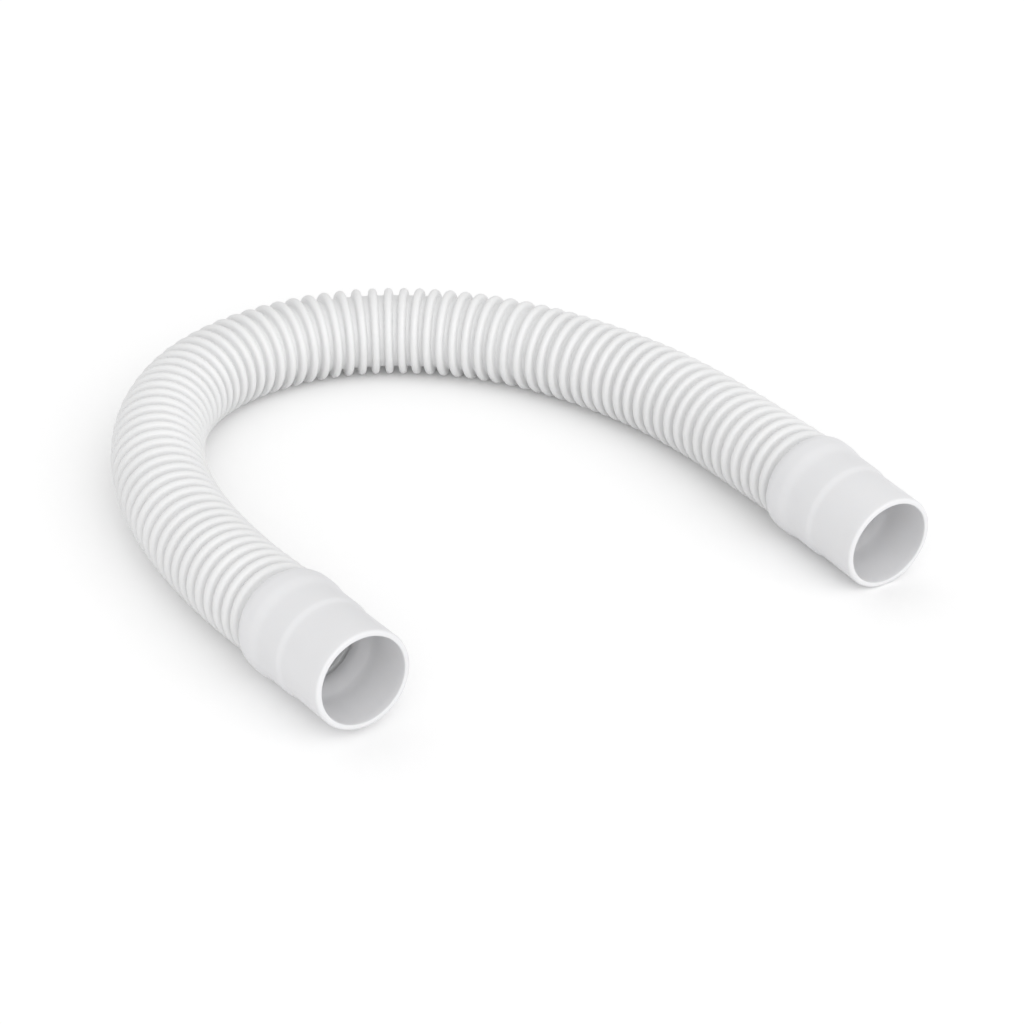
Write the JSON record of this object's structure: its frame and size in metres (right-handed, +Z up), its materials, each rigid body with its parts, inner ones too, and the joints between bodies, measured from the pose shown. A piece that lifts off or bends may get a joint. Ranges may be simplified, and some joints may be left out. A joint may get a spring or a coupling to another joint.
{
  "type": "flexible pvc hose",
  "caption": "White flexible corrugated hose bent in an open loop, with a soft smooth push-on cuff at each end.",
  "frame": {"origin": "on the surface that the hose lies on, under the middle of its box", "axes": "+Z up from the surface, +X along the longest side of the loop, both mouths towards -Y"},
  "size_m": [0.3244, 0.3085, 0.0422],
  "materials": {
    "tube_plastic": "satin",
    "cuff_plastic": "satin"
  },
  "bodies": {
    "root": {"corrugated_tube": "tube_plastic", "left_cuff": "cuff_plastic", "right_cuff": "cuff_plastic"}
  },
  "joints": []
}
